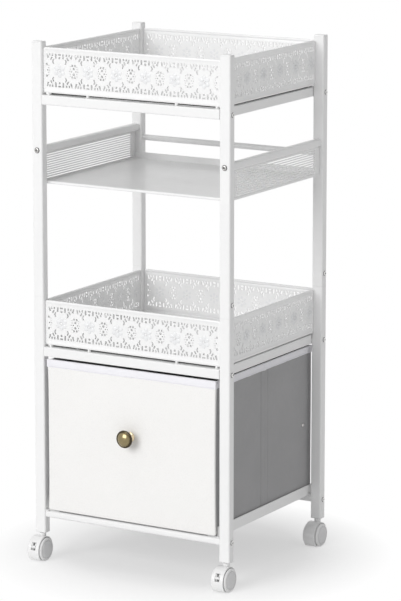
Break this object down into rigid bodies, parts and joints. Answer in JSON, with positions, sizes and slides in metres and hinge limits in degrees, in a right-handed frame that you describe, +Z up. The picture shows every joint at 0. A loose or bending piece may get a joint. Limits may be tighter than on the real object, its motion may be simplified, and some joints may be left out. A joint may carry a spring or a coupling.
{
  "type": "makeup organizer trolley with drawer",
  "caption": "Rolling white metal makeup organizer with pierced lace trays, an open shelf and a sliding fabric drawer, on swivelling twin-wheel casters.",
  "frame": {"origin": "middle of the footprint on the floor, at the bottom centre of the bounding box", "axes": "+Z up along the posts, +X to the right seen from the front, +Y from the drawer's front to the rear"},
  "size_m": [0.3904, 0.3603, 0.8856],
  "materials": {
    "white_powder_coat": "smooth white powder coat, low gloss",
    "white_plastic": "moulded white plastic, soft gloss",
    "wheel_plastic": "moulded off-white plastic with a greyer hub disc",
    "nickel_fasteners": "bright nickel plate",
    "plated_steel": "zinc plated steel",
    "antique_brass": "dark antique brass, polished on the high spots",
    "drawer_front_cover": "off-white leatherette over board",
    "drawer_grey_fabric": "plain grey woven fabric over board",
    "drawer_binding_tape": "pale lavender-white sewn tape",
    "drawer_base_board": "grey fabric over board"
  },
  "bodies": {
    "cart_frame": {"base_tubes": "white_powder_coat", "caster_sockets": "white_plastic", "caster_stems": "plated_steel", "drawer_runners": "white_powder_coat", "lower_post_front_left": "white_powder_coat", "lower_post_front_right": "white_powder_coat", "lower_post_rear_left": "white_powder_coat", "lower_post_rear_right": "white_powder_coat", "lower_ring_front_rail": "white_powder_coat", "lower_ring_rear_rail": "white_powder_coat", "lower_ring_side_rails": "white_powder_coat", "lower_tray_floor": "white_powder_coat", "lower_tray_front_lace": "white_powder_coat", "lower_tray_left_lace": "white_powder_coat", "lower_tray_rear_lace": "white_powder_coat", "lower_tray_right_lace": "white_powder_coat", "post_caps": "white_plastic", "post_joiners": "white_powder_coat", "shelf_bolts": "nickel_fasteners", "shelf_floor": "white_powder_coat", "shelf_guard_tube": "white_powder_coat", "shelf_side_panels": "white_powder_coat", "shelf_side_tubes": "white_powder_coat", "side_bolts": "nickel_fasteners", "tray_spacers": "white_powder_coat", "upper_post_front_left": "white_powder_coat", "upper_post_front_right": "white_powder_coat", "upper_post_rear_left": "white_powder_coat", "upper_post_rear_right": "white_powder_coat", "upper_ring_front_rail": "white_powder_coat", "upper_ring_rear_rail": "white_powder_coat", "upper_ring_side_rails": "white_powder_coat", "upper_tray_floor": "white_powder_coat", "upper_tray_front_lace": "white_powder_coat", "upper_tray_left_lace": "white_powder_coat", "upper_tray_rear_lace": "white_powder_coat", "upper_tray_right_lace": "white_powder_coat"},
    "drawer": {"drawer_back": "drawer_grey_fabric", "drawer_base": "drawer_base_board", "drawer_binding": "drawer_binding_tape", "drawer_front": "drawer_front_cover", "drawer_knob": "antique_brass", "drawer_left_side": "drawer_grey_fabric", "drawer_right_side": "drawer_grey_fabric", "drawer_studs": "nickel_fasteners", "knob_screw": "nickel_fasteners"},
    "front_left_swivel": {"caster_front_left_hood": "white_plastic"},
    "front_left_wheels": {"caster_front_left_axle": "plated_steel", "caster_front_left_wheels": "wheel_plastic"},
    "front_left_brake": {"caster_front_left_brake_lever": "white_plastic"},
    "front_right_swivel": {"caster_front_right_hood": "white_plastic"},
    "front_right_wheels": {"caster_front_right_axle": "plated_steel", "caster_front_right_wheels": "wheel_plastic"},
    "front_right_brake": {"caster_front_right_brake_lever": "white_plastic"},
    "rear_left_swivel": {"caster_rear_left_hood": "white_plastic"},
    "rear_left_wheels": {"caster_rear_left_axle": "plated_steel", "caster_rear_left_wheels": "wheel_plastic"},
    "rear_right_swivel": {"caster_rear_right_hood": "white_plastic"},
    "rear_right_wheels": {"caster_rear_right_axle": "plated_steel", "caster_rear_right_wheels": "wheel_plastic"}
  },
  "joints": [
    {"name": "drawer_slide", "type": "slide", "parent": "cart_frame", "child": "drawer", "axis": [0, -1, 0], "range_m": [0, 0.25]},
    {"name": "front_left_caster_swivel", "type": "hinge", "parent": "cart_frame", "child": "front_left_swivel", "pos_m": [-0.18, -0.14715, 0.04], "axis": [0, 0, 1], "continuous": true},
    {"name": "front_left_wheel_roll", "type": "hinge", "parent": "front_left_swivel", "child": "front_left_wheels", "pos_m": [-0.18, -0.15615, 0.02], "axis": [1, 0, 0], "continuous": true},
    {"name": "front_left_brake_press", "type": "hinge", "parent": "front_left_swivel", "child": "front_left_brake", "pos_m": [-0.18, -0.16432, 0.02736], "axis": [1, 0, 0], "range_deg": [0, 15]},
    {"name": "front_right_caster_swivel", "type": "hinge", "parent": "cart_frame", "child": "front_right_swivel", "pos_m": [0.18, -0.14715, 0.04], "axis": [0, 0, 1], "continuous": true},
    {"name": "front_right_wheel_roll", "type": "hinge", "parent": "front_right_swivel", "child": "front_right_wheels", "pos_m": [0.18, -0.15615, 0.02], "axis": [1, 0, 0], "continuous": true},
    {"name": "front_right_brake_press", "type": "hinge", "parent": "front_right_swivel", "child": "front_right_brake", "pos_m": [0.18, -0.16432, 0.02736], "axis": [1, 0, 0], "range_deg": [0, 15]},
    {"name": "rear_left_caster_swivel", "type": "hinge", "parent": "cart_frame", "child": "rear_left_swivel", "pos_m": [-0.18, 0.16685, 0.04], "axis": [0, 0, 1], "continuous": true},
    {"name": "rear_left_wheel_roll", "type": "hinge", "parent": "rear_left_swivel", "child": "rear_left_wheels", "pos_m": [-0.18, 0.15785, 0.02], "axis": [1, 0, 0], "continuous": true},
    {"name": "rear_right_caster_swivel", "type": "hinge", "parent": "cart_frame", "child": "rear_right_swivel", "pos_m": [0.18, 0.16685, 0.04], "axis": [0, 0, 1], "continuous": true},
    {"name": "rear_right_wheel_roll", "type": "hinge", "parent": "rear_right_swivel", "child": "rear_right_wheels", "pos_m": [0.18, 0.15785, 0.02], "axis": [1, 0, 0], "continuous": true}
  ]
}
